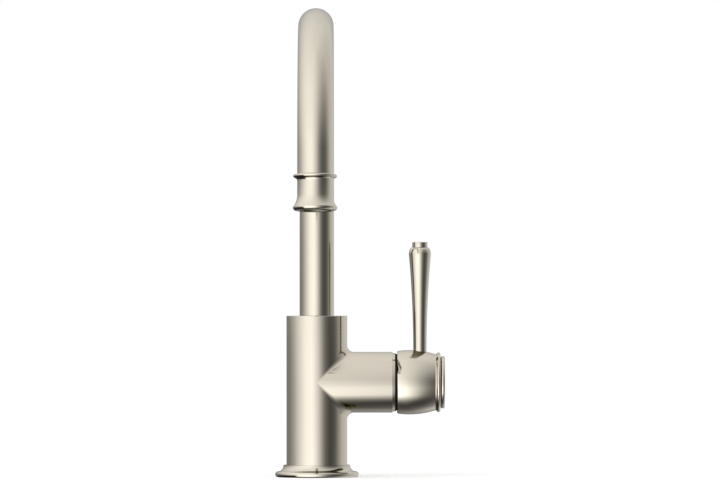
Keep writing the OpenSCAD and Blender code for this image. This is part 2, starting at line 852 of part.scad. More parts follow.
module spout_spigot() color("#b9a26a") {
    groove_r = tube_r - spout_groove;
    difference() {
        union() {
            translate([0, 0, spigot_z])
                cylinder(h = spigot_l, r = tube_r);
            translate([0, 0, tube_foot_z])
                cylinder(h = spigot_neck_l, r = tube_in_r - seat_fit);
        }
        translate([0, 0, spigot_z - over])
            cylinder(h = spigot_l + spigot_neck_l + 2 * over, r = spigot_bore_r);
        for (share = o_ring_shares)
            translate([0, 0, spigot_z + spigot_l * share - groove_w / 2])
                tube_z(0, groove_w, tube_r + over, groove_r);
        tube_z(grub_z - grub_r, grub_z + grub_r, tube_r + over, groove_r);
    }
}

module spout_o_rings() color("#1c1c1c") {
    for (share = o_ring_shares)
        translate([0, 0, spigot_z + spigot_l * share])
            rotate_extrude()
                translate([tube_r - spout_groove / 2, 0])
                    circle(r = spout_groove / 2);
}

module spout_slip_ring() color("#f4f2ec") {
    tube_z(socket_z, spigot_z, tube_r, spigot_bore_r);
}

module spout_grub_screw() color("#a8abad") {
    point_y = tube_r - spout_groove + free_gap;
    thread_y = tube_r + free_gap;
    screw_y = body_r - free_gap;
    difference() {
        translate([0, 0, grub_z])
            rotate([-90, 0, 0]) {
                translate([0, 0, point_y])
                    cylinder(h = screw_y - point_y, r = grub_r * rim_share);
                translate([0, 0, thread_y])
                    cylinder(h = screw_y - thread_y, r = grub_r);
            }
        translate([0, screw_y - grub_r, grub_z])
            rotate([-90, 0, 0])
                cylinder(h = grub_r + over, r = grub_r * pocket_share, $fn = 6);
    }
}

module outlet_collar() color("#cfc7b8") {
    waterway_r = aerator_r - hub_wall;
    top_bead_at = [tube_r + collar_top_out, collar_l];
    cove_rise = sqrt(pow(collar_cove + collar_top_r - fit, 2) - pow(collar_cove - collar_top_out, 2));
    cove_at = [tube_r + collar_cove, collar_l - cove_rise];
    at_outlet()
        rotate_extrude()
            difference() {
                union() {
                    square([tube_r, collar_top]);
                    difference() {
                        translate([0, collar_bead_r])
                            square([tube_r + flare_out, flare_h - collar_bead_r]);
                        translate([tube_r + flare_cove, flare_h])
                            circle(r = flare_cove);
                    }
                    square([tube_r + collar_bead_out - seat_fit, collar_bead_r]);
                    translate([tube_r + collar_bead_out - seat_fit, collar_bead_r])
                        circle(r = collar_bead_r);
                    difference() {
                        polygon([[0, cove_at[1]], cove_at, top_bead_at, [0, collar_l]]);
                        translate(cove_at)
                            circle(r = collar_cove);
                    }
                    translate([0, collar_l])
                        square([top_bead_at[0], collar_top_r]);
                    translate(top_bead_at)
                        circle(r = collar_top_r);
                    square([tube_in_r - seat_fit, collar_top + spigot_neck_l]);
                }
                translate([0, -over])
                    square([aerator_r, aerator_depth + over]);
                translate([0, -over])
                    square([waterway_r, collar_top + spigot_neck_l + 2 * over]);
            }
}

// Rings of holes in the core, as [share of its radius, number of holes]
core_ring_shares = [[0, 1], [0.33, 6], [0.66, 12]];
aerator_low = collar_bead_r * rebate_share;
aerator_top = aerator_depth - aerator_washer_t;
aerator_in_r = aerator_r - seat_fit - aerator_wall;
core_low = aerator_low + 2 * mesh_t;
core_top = aerator_top - mesh_t;

module aerator_housing() color("#cfc7b8") {
    at_outlet() {
        tube_z(aerator_low, aerator_top, aerator_r - seat_fit, aerator_in_r);
        tube_z(aerator_low, core_low, aerator_r - seat_fit, aerator_in_r - aerator_wall / 2);
    }
}

module aerator_core() color("#5b5f63") {
    at_outlet()
        translate([0, 0, core_low])
            linear_extrude(height = core_top - core_low)
                difference() {
                    circle(r = aerator_in_r - seat_fit);
                    for (ring = core_ring_shares, i = [0:ring[1] - 1])
                        rotate(360 * i / ring[1])
                            translate([ring[0] * aerator_in_r, 0])
                                circle(r = core_hole_r);
                }
}

module aerator_mesh() color("#a8abad") {
    mesh_r = aerator_in_r - seat_fit;
    hole = mesh_pitch - mesh_wire;
    reach = floor((mesh_r - mesh_wire) / mesh_pitch);
    at_outlet()
        translate([0, 0, core_top])
            linear_extrude(height = mesh_t)
                difference() {
                    circle(r = mesh_r);
                    for (i = [-reach:reach], j = [-reach:reach])
                        if (norm([i, j]) * mesh_pitch + hole < mesh_r)
                            translate([i, j] * mesh_pitch)
                                square(hole, center = true);
                }
}

module aerator_washer() color("#1c1c1c") {
    at_outlet()
        tube_z(aerator_top, aerator_depth, aerator_r - seat_fit, aerator_in_r - aerator_wall / 2);
}

body_casting();
base_flange();
base_seal();
branch_dome();
wiper_ring();
cartridge_nut();
cartridge_housing();
cartridge_base();
port_seals();
disc_seals();
fixed_disc();
spout_slip_ring();
spout_grub_screw();
spout_tube();
spout_spigot();
spout_o_rings();
outlet_collar();
aerator_housing();
aerator_core();
aerator_mesh();
aerator_washer();
cartridge_rotor();
rotor_seal();
pivot_pin();
moving_disc();
disc_carrier();
cartridge_spindle();
handle_hub();
hub_bead_ring();
hub_end_cap();
hub_screw();
lever_stud();
lever_rod();
lever_tip();
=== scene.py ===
"""Gooseneck basin mixer with a side lever, dressed for a studio picture.

The deck is z = 0 and the body's axis is the Z axis. The spout points along -Y and the branch along +X.
"""

import json
import math

import bpy
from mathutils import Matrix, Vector


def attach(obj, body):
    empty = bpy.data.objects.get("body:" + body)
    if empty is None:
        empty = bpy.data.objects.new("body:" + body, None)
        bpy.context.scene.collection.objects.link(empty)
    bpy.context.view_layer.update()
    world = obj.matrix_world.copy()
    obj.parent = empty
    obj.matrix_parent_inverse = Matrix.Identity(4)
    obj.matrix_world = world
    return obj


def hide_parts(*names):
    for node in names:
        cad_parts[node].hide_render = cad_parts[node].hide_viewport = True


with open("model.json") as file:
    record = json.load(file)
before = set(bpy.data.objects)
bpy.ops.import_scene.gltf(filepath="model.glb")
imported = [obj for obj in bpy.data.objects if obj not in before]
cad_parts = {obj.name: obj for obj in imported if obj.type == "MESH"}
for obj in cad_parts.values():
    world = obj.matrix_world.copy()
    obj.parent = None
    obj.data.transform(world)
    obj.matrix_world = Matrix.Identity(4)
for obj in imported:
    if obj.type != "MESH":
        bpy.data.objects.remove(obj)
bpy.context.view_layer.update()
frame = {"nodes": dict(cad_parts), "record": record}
nodes = frame["nodes"]

# Camera, as the photograph was taken: level, 5.1 metres in front of the body and through a long lens.
# The lens and the sensor are in millimetres
CAMERA_AT = (0.032, -5.1, 0.140)
LENS = 344
SENSOR_W = 36
HORIZON_SHIFT = 0.0668
FAR_CLIP = 100

# Levels of the studio that the metal reflects, by bearing in degrees: 0 is towards the camera and 90 to the
# right. There is a bright panel in front and to the left, a dark flag on the right, a pale wall at the back
# right and a dimmer one at the back left
ROOM_LEVELS = [
    (-180, 0.24),
    (-172, 0.20),
    (-124, 0.215),
    (-97, 0.38),
    (-42, 1.08),
    (-18, 1.17),
    (-4, 0.94),
    (20, 0.34),
    (27, 0.21),
    (35, 0.12),
    (51, 0.06),
    (69, 0.085),
    (78, 0.14),
    (112, 0.50),
    (148, 0.60),
    (160, 0.55),
    (170, 0.36),
    (180, 0.24),
]

# In the pairs below, something begins at the first number and is complete at the second. They count the
# direction's part up, down, across, left or ahead, which is 1 straight that way
LEAN_UP = (-0.05, 0.25)
CEILING_LEFT_UP = (0.0, 1.3)
CEILING_RIGHT_UP = (-0.1, 1.45)
CEILING_RIGHT_ACROSS = (0.0, 0.72)
FRONT_AHEAD = (0.0, 0.2)
FRONT_DOWN = (0.0, 0.5)
UNDER_SHADE_DOWN = (0.70, 1.03)
LOW_LEFT_SHADE_DOWN = (0.16, 0.36)
LOW_LEFT_SHADE_LEFT = (0.0, 0.15)
LOW_LEFT_SHADE_SIDE = (0.42, 0.62)

# How far the walls' levels lean to the left above the horizon, in degrees
LEAN = 4.8
# The ceiling over the middle, what it loses towards the right, and how early it comes in at the left
CEILING_LEVEL = 0.79
CEILING_FALL = 0.27
CEILING_LEFT_POWER = 0.4
# Painted light: how much brighter the walls in front get low down, below the horizon
FRONT_GAIN = 0.36
# Painted shade straight below, where the floor under the tap would show in reflections
UNDER_SHADE_LEVEL = 0.05
# Painted shade low on the left, and the share of what is ahead that counts against it
LOW_LEFT_SHADE_LEVEL = 0.02
LOW_LEFT_SHADE_AHEAD_SHARE = 0.6
# The room's own size and middle, in metres, and how finely it is divided
ROOM_RADIUS = 3.2
ROOM_CENTRE_Z = 0.16
ROOM_SEGMENTS = 96
ROOM_RINGS = 48

# The floor's size in metres, its shades, and the glow that makes it white to the camera. The second glow
# is added away from the tap, and grows between the two distances
FLOOR_SIZE = 30
FLOOR_SHADES = (0.80, 0.82)
FLOOR_GLOW = 0.25
FLOOR_GLOW_FAR = 0.07
FLOOR_FAR = (0.3, 1.5)

# Strength of the world as a light on the tap. The camera sees it at 1
WORLD_LIGHT = 0.85

# Each lamp's name, place in metres and power in watts. All have one size and aim at the middle of the tap
LAMPS = (
    ("key_lamp", (-1.1, -1.6, 1.7), 14),
    ("fill_lamp", (1.6, -1.0, 1.5), 6),
)
LAMP_SIZE = 1.4
TAP_MIDDLE = (0.02, 0.0, 0.15)

# Painted dark reflection: the colour that nickel takes where other nickel reflects it, darker than the
# nickel itself. The photograph shows the tap's reflections in itself dark
PAINTED_SELF_REFLECTION = (0.16, 0.147, 0.088, 1.0)

# The colour sockets of a Mix node, by number, because it has sockets of the same names for numbers
MIX_FIRST = 6
MIX_SECOND = 7
MIX_RESULT = 2

# A millimetre and a thousandth of one, in metres
MM = 0.001
MICRON = 0.000001

# Sizes of the tap in millimetres, and angles in degrees, as its solids have them. Three are closer to the
# photograph: the crown of the trim ring, the nose of the collar's flare and the tilt of the notch's floor
BODY_R = 22.5
BODY_TOP = 119.5
BODY_EDGE = 0.4
BRANCH_EDGE = 0.12
FOOT_R = 17.8
LIP_Z = 2
STUD_HOLE_R = 4
STUD_HOLE_TOP = 25
SOCKET_R = 12.8
SOCKET_Z = 86
BRANCH_Z = 70.2
BRANCH_END = 56
MITRE_FILLET = 5
CHAMBER_R = 17.6
CHAMBER_X = 19
THREAD_R = 19
THREAD_X = 44.55
INLET_R = 5
INLET_DEPTH = 14
INLET_X = 5.5
INLET_Y = 9.8
GRUB_R = 2.55
GRUB_Z = 98.75
FLANGE_TOP = 9
LEDGE_R = 24.7
FLANGE_COVE = 5.2
FLANGE_BEAD = 2.2
FLANGE_BEAD_AT = (28.7, 2.1)
SEAL_IN_R = 23.1
SEAL_OUT_R = 26.2
SEAL_TOP = 1.4
TUBE_R = 12.75
TUBE_WALL = 1.5
TUBE_FOOT_Z = 110
ARCH_R = 99
ARCH_Z = 231.65
LEG_L = 17.7
COLLAR_L = 26.45
LOW_BEAD = 2.2
LOW_BEAD_AT = (13.7, 2.2)
TOP_BEAD = 1.2
TOP_BEAD_AT = (14.45, 24.65)
TOP_COVE = 2.5
FLARE_H = 11
FLARE_NOSE = 1
NECK_R = 11.2
NECK_L = 10
WATERWAY_R = 9.2
AERATOR_R = 11
AERATOR_DEPTH = 11
PIVOT_X = 46.05
TRIM_X = 58
TRIM_R = 21.85
TRIM_EDGE = 0.1
TRIM_CURVE = 18.4
TRIM_TILTS = (6, 12)
SKIRT_X = 53.79
SKIRT_R = 18.9
SKIRT_WALL = 1.5
DOME_R = 24.685
DOME_WALL = 1.6
DOME_END = 62
WIPER_END = 59.8
WIPER_T = 0.9
RIM_X = 59.5
RIM_EDGE = 0.9
HUB_END = 87.7
HUB_WALL = 1.8
HUB_FLOOR = 82.5
HUB_CURVE = 62
CROWN_X = 68.7
CROWN_AXIS_R = -38.1
BOSS_R = 8
BOSS_X = 62
SCREW_R = 2.5
SCREW_HEAD_R = 4.6
SCREW_SEAT_X = 84.5
NOTCH_R = 5.27
NOTCH_X = 56.93
NOTCH_FLOOR = 22.7
NOTCH_TILT = 10
SLIT_R = 12.2
SLIT_X = 48.2
SLIT_LOW = 19.8
NOTCH_ANGLE = 27
BEAD_RING_BORE = 17
BEAD_RING_R = 20.7
BEAD_RING_BEAD = 1.4
BEAD_RING_COVE = 1
CAP_X = 91.6
CAP_END = 94.9
CAP_R = 19.4
CAP_EDGE = 1.4
CAP_SPIGOT_R = 16.95
CAP_SPIGOT_WALL = 1.8
LEVER_X = 76.4
LEVER_FOOT = 19.42
LEVER_SEAT = 4
LEVER_ROOT_R = 4.95
LEVER_TOP_R = 8.2
LEVER_SHOULDER = 95.1
LEVER_TOP = 100
LEVER_HOLE_R = 2.95
LEVER_HOLE_L = 8.6
TIP_R = 5.65
TIP_TOP = 104
TIP_EDGE = 0.5
TIP_STEM_R = 2.9
TIP_STEM_L = 8

# How far the leg leans off the vertical: its sine, and the angle in radians
OUTLET_LEAN_SINE = 0.07584
OUTLET_LEAN = math.asin(OUTLET_LEAN_SINE)

# Clearances in millimetres: round the foot, and round what is seated
FOOT_FIT = 0.1
SEAT_FIT = 0.05
# How far a cut runs past the surface that it opens, how long a bite in the hub's rim is, and how deep in the
# boss the lever's post starts
OVER = 2
BITE_L = 8
POST_SINK = 1
# How near a point has to be to count as on a surface
NEAR = 0.01

# How finely the pieces are divided: round their axes, round a small hole, along the arch, along the lever's
# taper, over its shoulder and across the fillet
SEGMENTS = 192
HOLE_SEGMENTS = 96
ARCH_STEPS = 128
TAPER_STEPS = 48
SHOULDER_STEPS = 16
FILLET_STEPS = 10
# The most that one step along an arc may turn, and its greatest length in millimetres
ARC_STEP = math.radians(9)
ARC_LENGTH = 1.3
# Edges under this angle are smooth, and points closer than this are one
SMOOTH_BELOW = math.radians(32)
WELD = 2 * MICRON


class Wire:
    """A number or colour on its way through a material. Sums on it add Math nodes."""

    def __init__(self, socket):
        self.socket = socket

    @staticmethod
    def node(tree, kind, settings=None, sockets=None):
        """Adds a node, makes its settings and then fills its sockets with values or wires."""
        made = tree.nodes.new(kind)
        for key, value in (settings or {}).items():
            if key == "stops":
                fill_ramp(made.color_ramp, value)
            else:
                setattr(made, key, value)
        for key, value in (sockets or {}).items():
            if isinstance(value, Wire):
                tree.links.new(value.socket, made.inputs[key])
            else:
                made.inputs[key].default_value = value
        return made

    def math(self, operation, first, second):
        tree = self.socket.id_data
        made = Wire.node(tree, "ShaderNodeMath", {"operation": operation}, {0: first, 1: second})
        return Wire(made.outputs[0])

    def __add__(self, other):
        return self.math("ADD", self, other)

    def __radd__(self, other):
        return self.math("ADD", other, self)

    def __sub__(self, other):
        return self.math("SUBTRACT", self, other)

    def __rsub__(self, other):
        return self.math("SUBTRACT", other, self)

    def __mul__(self, other):
        return self.math("MULTIPLY", self, other)

    def __rmul__(self, other):
        return self.math("MULTIPLY", other, self)

    def power(self, exponent):
        return self.math("POWER", self, exponent)

    def bearing(self, ahead):
        """The angle from ahead of what lies this far across, in radians."""
        return self.math("ARCTAN2", self, ahead)

    def smooth(self, low, high):
        """0 below low, 1 above high and an even curve between them."""
        settings = {"interpolation_type": "SMOOTHSTEP"}
        sockets = {"Value": self, "From Min": low, "From Max": high}
        return Wire(Wire.node(self.socket.id_data, "ShaderNodeMapRange", settings, sockets).outputs[0])


def fill_ramp(ramp, stops):
    """Gives the ramp these stops in place of its own two."""
    first, *others = stops
    ramp.elements.remove(ramp.elements[1])
    ramp.elements[0].position, ramp.elements[0].color = first
    for position, colour in others:
        ramp.elements.new(position).color = colour


def grey(level):
    return (level, level, level, 1.0)


def new_material(name):
    material = bpy.data.materials.new(name)
    material.use_nodes = True
    material.node_tree.nodes.clear()
    return material, material.node_tree


def place(tree):
    """The point on the piece, in metres from the piece's origin."""
    return Wire(Wire.node(tree, "ShaderNodeTexCoord").outputs["Object"])


def axes(tree, vector):
    """The vector's three parts."""
    made = Wire.node(tree, "ShaderNodeSeparateXYZ", sockets={0: vector})
    return [Wire(output) for output in made.outputs]


def noise(tree, point, scale, detail=3.0):
    """A cloudy pattern from 0 to 1, with this many clouds to the metre."""
    sockets = {"Vector": point, "Scale": scale, "Detail": detail}
    return Wire(Wire.node(tree, "ShaderNodeTexNoise", sockets=sockets).outputs["Fac"])


def mix_colours(tree, factor, first, second):
    """The first colour where the factor is 0, and the second where it is 1."""
    sockets = {"Factor": factor, MIX_FIRST: first, MIX_SECOND: second}
    return Wire(Wire.node(tree, "ShaderNodeMix", {"data_type": "RGBA"}, sockets).outputs[MIX_RESULT])


def seen_in_reflection(tree):
    """1 for what shows in a reflection, and else 0."""
    return Wire(Wire.node(tree, "ShaderNodeLightPath").outputs["Is Glossy Ray"])


def seen_at_all(tree):
    """1 for what shows straight, in a reflection or through glass, and 0 as a light on matt surfaces."""
    rays = Wire.node(tree, "ShaderNodeLightPath").outputs
    seen = Wire(rays["Is Camera Ray"]) + Wire(rays["Is Glossy Ray"]) + Wire(rays["Is Transmission Ray"])
    return seen.smooth(0.0, 1.0)


def finish_surface(tree, height, depth, sockets):
    """Principled surface with a bump of the given depth in metres."""
    relief = {"Height": height, "Strength": 1.0, "Distance": depth}
    bump = Wire.node(tree, "ShaderNodeBump", sockets=relief)
    sockets = {**sockets, "Normal": Wire(bump.outputs[0])}
    surface = Wire.node(tree, "ShaderNodeBsdfPrincipled", sockets=sockets)
    Wire.node(tree, "ShaderNodeOutputMaterial", sockets={"Surface": Wire(surface.outputs[0])})


def satin_nickel():
    """Warm nickel plate, rubbed to a satin: soft clouds in the sheen and very fine rubbing marks. Where it
    is seen in a reflection, its colour turns dark: a painted dark reflection.
    """
    material, tree = new_material("satin_nickel")
    point = place(tree)
    clouds = noise(tree, point, scale=24.0)
    rubbing = noise(tree, point, scale=900.0, detail=4.0)
    pits = noise(tree, point, scale=2600.0, detail=2.0)
    colour = mix_colours(tree, clouds, (0.86, 0.79, 0.665, 1.0), (0.90, 0.835, 0.715, 1.0))
    # Painted dark reflection: seen in a reflection, the nickel takes the darker colour
    colour = mix_colours(tree, seen_in_reflection(tree), colour, PAINTED_SELF_REFLECTION)
    rough = 0.09 + 0.03 * clouds + 0.02 * rubbing
    sockets = {"Base Color": colour, "Metallic": 1.0, "Roughness": rough}
    finish_surface(tree, rubbing + 0.5 * pits, 4 * MICRON, sockets)
    return material


def raw_brass():
    """Bare turned brass, dulled in patches."""
    material, tree = new_material("raw_brass")
    point = place(tree)
    patches = noise(tree, point, scale=60.0)
    turning = noise(tree, point, scale=1400.0, detail=2.0)
    colour = mix_colours(tree, patches, (0.78, 0.58, 0.28, 1.0), (0.62, 0.44, 0.20, 1.0))
    sockets = {"Base Color": colour, "Metallic": 1.0, "Roughness": 0.26 + 0.16 * patches}
    finish_surface(tree, turning, 20 * MICRON, sockets)
    return material


def turned_steel():
    """Stainless steel with turning marks."""
    material, tree = new_material("turned_steel")
    point = place(tree)
    marks = noise(tree, point, scale=1800.0)
    patches = noise(tree, point, scale=90.0)
    colour = mix_colours(tree, patches, (0.58, 0.58, 0.57, 1.0), (0.70, 0.70, 0.69, 1.0))
    sockets = {"Base Color": colour, "Metallic": 1.0, "Roughness": 0.24 + 0.12 * marks}
    finish_surface(tree, marks, 10 * MICRON, sockets)
    return material


def black_rubber():
    """Moulded rubber with a dusty bloom."""
    material, tree = new_material("black_rubber")
    point = place(tree)
    bloom = noise(tree, point, scale=120.0)
    grain = noise(tree, point, scale=3000.0, detail=2.0)
    colour = mix_colours(tree, bloom, (0.008, 0.008, 0.008, 1.0), (0.016, 0.0155, 0.015, 1.0))
    sockets = {"Base Color": colour, "Roughness": 0.55 + 0.2 * bloom, "Specular IOR Level": 0.25}
    finish_surface(tree, grain, 30 * MICRON, sockets)
    return material


def moulded_acetal(name, first_shade, other_shade):
    """Moulded plastic: a faint mottle of two shades, and the fine grain of the mould."""
    material, tree = new_material(name)
    point = place(tree)
    mottle = noise(tree, point, scale=70.0)
    grain = noise(tree, point, scale=2200.0, detail=2.0)
    colour = mix_colours(tree, mottle, first_shade, other_shade)
    sockets = {"Base Color": colour, "Roughness": 0.38 + 0.12 * mottle}
    finish_surface(tree, grain, 20 * MICRON, sockets)
    return material


def alumina():
    """Lapped ceramic: nearly white, with a tight speckle."""
    material, tree = new_material("alumina")
    point = place(tree)
    speckle = noise(tree, point, scale=1500.0, detail=4.0)
    colour = mix_colours(tree, speckle.smooth(0.35, 0.7), (0.76, 0.75, 0.71, 1.0), (0.86, 0.85, 0.82, 1.0))
    sockets = {"Base Color": colour, "Roughness": 0.12 + 0.1 * speckle}
    finish_surface(tree, speckle, 4 * MICRON, sockets)
    return material


def make_finishes():
    """The finish of each material slot of the record."""
    return {
        "satin_nickel": satin_nickel(),
        "raw_brass": raw_brass(),
        "steel": turned_steel(),
        "black_rubber": black_rubber(),
        "white_acetal": moulded_acetal("white_acetal", (0.74, 0.72, 0.66, 1.0), (0.82, 0.80, 0.75, 1.0)),
        "grey_acetal": moulded_acetal("grey_acetal", (0.16, 0.17, 0.18, 1.0), (0.23, 0.24, 0.25, 1.0)),
        "blue_acetal": moulded_acetal("blue_acetal", (0.04, 0.13, 0.32, 1.0), (0.06, 0.18, 0.40, 1.0)),
        "alumina": alumina(),
    }


def dress_nodes(finishes):
    """Gives each solid the finish of its material slot."""
    for part in frame["record"]["subparts"]:
        solid = nodes[part["node"]]
        solid.data.materials.clear()
        solid.data.materials.append(finishes[part["material_slot"]])


def edit(choice):
    """Opens the active piece for editing with everything or nothing selected."""
    bpy.ops.object.mode_set(mode="EDIT")
    bpy.ops.mesh.select_all(action=choice)


def close_up():
    """Welds the active piece's seams, points its faces outwards and smooths what isn't an edge."""
    edit("SELECT")
    bpy.ops.mesh.remove_doubles(threshold=WELD)
    bpy.ops.mesh.normals_make_consistent(inside=False)
    bpy.ops.object.mode_set(mode="OBJECT")
    bpy.ops.object.shade_smooth_by_angle(angle=SMOOTH_BELOW)


class Pen:
    """Draws the outline of a turned piece in millimetres, as radius and place along the axis, and turns it.

    The axis is the body's own (upright) or the branch's.
    """

    def __init__(self, name, radius, along, upright=True):
        self.upright = upright
        bpy.ops.object.select_all(action="DESELECT")
        bpy.ops.mesh.primitive_plane_add(size=MM, location=(0, 0, 0))
        self.piece = bpy.context.active_object
        self.piece.name = name
        edit("SELECT")
        bpy.ops.mesh.merge(type="CENTER")
        self.at = self.spot(radius, along)
        bpy.ops.transform.translate(value=self.at)

    def spot(self, radius, along):
        """The place in metres."""
        if self.upright:
            return Vector((radius, 0, along)) * MM
        return Vector((along, 0, BRANCH_Z + radius)) * MM

    def line(self, *corners):
        """Straight on from corner to corner."""
        for radius, along in corners:
            spot = self.spot(radius, along)
            bpy.ops.mesh.extrude_vertices_move(TRANSFORM_OT_translate={"value": spot - self.at})
            self.at = spot

    def arc(self, centre, end):
        """Round the centre, the short way, to the end."""
        middle = self.spot(*centre)
        before = self.at - middle
        after = self.spot(*end) - middle
        sweep = math.atan2(before.cross(after).y, before.dot(after))
        length = abs(sweep) * before.length / MM
        steps = math.ceil(max(abs(sweep) / ARC_STEP, length / ARC_LENGTH))
        bpy.ops.mesh.spin(steps=steps, angle=sweep, center=middle, axis=(0, -1, 0))
        self.at = middle + after

    def turn(self):
        """Turns the outline round its axis into the closed piece."""
        bpy.ops.mesh.select_all(action="SELECT")
        bpy.ops.mesh.remove_doubles(threshold=WELD)
        axis = (0, 0, 1) if self.upright else (1, 0, 0)
        bpy.ops.mesh.spin(steps=SEGMENTS, angle=2 * math.pi, center=self.spot(0, 0), axis=axis)
        bpy.ops.object.mode_set(mode="OBJECT")
        close_up()
        return self.piece


def cut(piece, tool, operation="DIFFERENCE"):
    """Takes the tool's shape out of the piece, or adds it, and puts the tool away."""
    change = piece.modifiers.new("cut", "BOOLEAN")
    change.operation = operation
    change.solver = "EXACT"
    change.object = tool
    bpy.context.view_layer.objects.active = piece
    bpy.ops.object.modifier_apply(modifier=change.name)
    bpy.data.objects.remove(tool)


def bar(radius, start, end, sides=HOLE_SEGMENTS):
    """A round bar between two points in millimetres, to cut out of a piece or add to it."""
    start, end = Vector(start) * MM, Vector(end) * MM
    along = end - start
    bpy.ops.object.select_all(action="DESELECT")
    bpy.ops.mesh.primitive_cylinder_add(
        vertices=sides,
        radius=radius * MM,
        depth=along.length,
        location=(start + end) / 2,
        rotation=along.to_track_quat("Z", "Y").to_euler(),
    )
    return bpy.context.active_object


def finish_cuts(piece):
    """Takes the piece up again after its cuts, and closes it up."""
    bpy.ops.object.select_all(action="DESELECT")
    piece.select_set(True)
    bpy.context.view_layer.objects.active = piece
    close_up()


def pick_faces(piece, wanted):
    """Selects the faces whose middle is where it is wanted, in millimetres from the mitres' middle."""
    middle = Vector((0, 0, BRANCH_Z))
    bpy.ops.object.mode_set(mode="OBJECT")
    for face in piece.data.polygons:
        face.select = wanted(face.center / MM - middle)
    bpy.ops.object.mode_set(mode="EDIT")


def cut_to_mitres(piece, skin, beyond):
    """Splits the skin at both mitre planes, and takes away what lies beyond them."""
    edit("DESELECT")
    for side in (-1, 1):
        pick_faces(piece, skin)
        bpy.ops.mesh.bisect(plane_co=(0, 0, BRANCH_Z * MM), plane_no=(1, 0, side), threshold=WELD)
    pick_faces(piece, lambda spot: skin(spot) and beyond(spot))
    bpy.ops.mesh.delete(type="FACE")
    bpy.ops.object.mode_set(mode="OBJECT")


def round_mitres(piece):
    """Rolls the fillet along both mitres. It runs out to nothing where the surfaces meet flat."""
    mesh = piece.data
    middle = Vector((0, 0, BRANCH_Z))
    weights = mesh.attributes.new("bevel_weight_edge", "FLOAT", "EDGE")
    for edge in mesh.edges:
        ends = [mesh.vertices[i].co / MM - middle for i in edge.vertices]
        if all(on_mitre(end) for end in ends):
            share = (ends[0].x + ends[1].x) / (2 * BODY_R)
            weights.data[edge.index].value = share / math.sqrt(2 - share * share)
    fillet = piece.modifiers.new("fillet", "BEVEL")
    fillet.limit_method = "WEIGHT"
    fillet.offset_type = "OFFSET"
    fillet.width = MITRE_FILLET * MM
    fillet.segments = FILLET_STEPS
    fillet.use_clamp_overlap = False
    bpy.ops.object.modifier_apply(modifier=fillet.name)


def on_mitre(spot):
    """Whether this is on the line where the skins of the body and the branch meet."""
    on_plane = abs(spot.x - abs(spot.z)) < NEAR
    return on_plane and spot.x > -NEAR and on_skin(spot.x, spot.y)


def on_skin(side, depth):
    """Whether this is on the surface of the body, or of the branch, measured square to its axis."""
    return abs(math.hypot(side, depth) - BODY_R) < NEAR


def upright_half():
    """The upright with its socket for the spout, open where the branch joins it."""
    pen = Pen("mixer_casting", 0, STUD_HOLE_TOP)
    pen.line((STUD_HOLE_R, STUD_HOLE_TOP), (STUD_HOLE_R, 0), (FOOT_R, 0), (FOOT_R, LIP_Z))
    pen.line((BODY_R, LIP_Z), (BODY_R, BODY_TOP - BODY_EDGE))
    pen.arc((BODY_R - BODY_EDGE, BODY_TOP - BODY_EDGE), (BODY_R - BODY_EDGE, BODY_TOP))
    pen.line((SOCKET_R, BODY_TOP), (SOCKET_R, SOCKET_Z), (0, SOCKET_Z))
    upright = pen.turn()
    cut_to_mitres(
        upright,
        lambda spot: spot.x > 0 and on_skin(spot.x, spot.y),
        lambda spot: spot.x > abs(spot.z),
    )
    return upright


def branch_half():
    """The branch with its chamber for the cartridge, cut to meet the upright."""
    pen = Pen("branch", BODY_R, 0, upright=False)
    pen.line((BODY_R, BRANCH_END - BRANCH_EDGE))
    pen.arc((BODY_R - BRANCH_EDGE, BRANCH_END - BRANCH_EDGE), (BODY_R - BRANCH_EDGE, BRANCH_END))
    pen.line((THREAD_R, BRANCH_END), (THREAD_R, THREAD_X), (CHAMBER_R, THREAD_X), (CHAMBER_R, CHAMBER_X))
    pen.line((0, CHAMBER_X))
    branch = pen.turn()
    cut_to_mitres(
        branch,
        lambda spot: on_skin(spot.y, spot.z),
        lambda spot: spot.x < abs(spot.z),
    )
    return branch


def mixer_casting():
    """Upright and branch of one diameter, joined at two filleted mitres, with the holes that can be seen."""
    upright = upright_half()
    branch = branch_half()
    bpy.ops.object.select_all(action="DESELECT")
    branch.select_set(True)
    upright.select_set(True)
    bpy.context.view_layer.objects.active = upright
    bpy.ops.object.join()
    close_up()
    round_mitres(upright)
    for side in (-1, 1):
        inlet = (INLET_X, side * INLET_Y)
        cut(upright, bar(INLET_R, (*inlet, -OVER), (*inlet, INLET_DEPTH)))
    cut(upright, bar(GRUB_R, (0, SOCKET_R - OVER, GRUB_Z), (0, BODY_R + OVER, GRUB_Z)))
    finish_cuts(upright)
    return upright


def crossing(centre_a, radius_a, centre_b, radius_b):
    """The crossing of two circles nearer the axis, as radius and place along the axis."""
    across, up = centre_b[0] - centre_a[0], centre_b[1] - centre_a[1]
    apart = math.hypot(across, up)
    along = (apart**2 + radius_a**2 - radius_b**2) / (2 * apart)
    off = math.sqrt(radius_a**2 - along**2) / apart
    base = centre_a[0] + across * along / apart, centre_a[1] + up * along / apart
    spots = [(base[0] + side * off * up, base[1] - side * off * across) for side in (-1, 1)]
    return min(spots)


